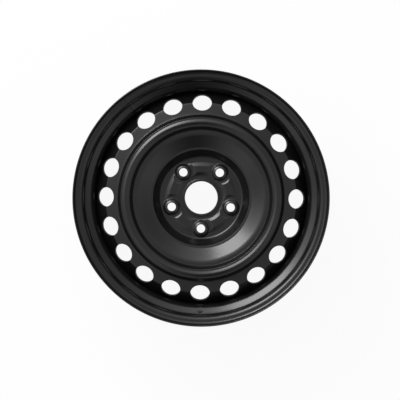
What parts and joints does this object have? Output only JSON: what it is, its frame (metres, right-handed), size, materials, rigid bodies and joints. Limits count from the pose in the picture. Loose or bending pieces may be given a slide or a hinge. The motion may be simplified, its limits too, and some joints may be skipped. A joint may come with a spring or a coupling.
{
  "type": "steel wheel",
  "caption": "Pressed-steel car wheel: a rolled drop-centre rim with a dished, vented disc welded inside it, which bolts to a hub and carries a tubeless tyre.",
  "frame": {"origin": "on the wheel's axis, in the plane of the hub mounting face at the back of the disc", "axes": "+Z along the wheel's axis to the outboard side, so the wheel lies on its inboard flange; -Y toward the valve hole"},
  "size_m": [0.4712, 0.4711, 0.203],
  "materials": {
    "rim_paint": "satin",
    "disc_paint": "satin",
    "weld_paint": "satin"
  },
  "bodies": {
    "root": {"rim": "rim_paint", "disc": "disc_paint", "weld_beads": "weld_paint"}
  },
  "joints": []
}
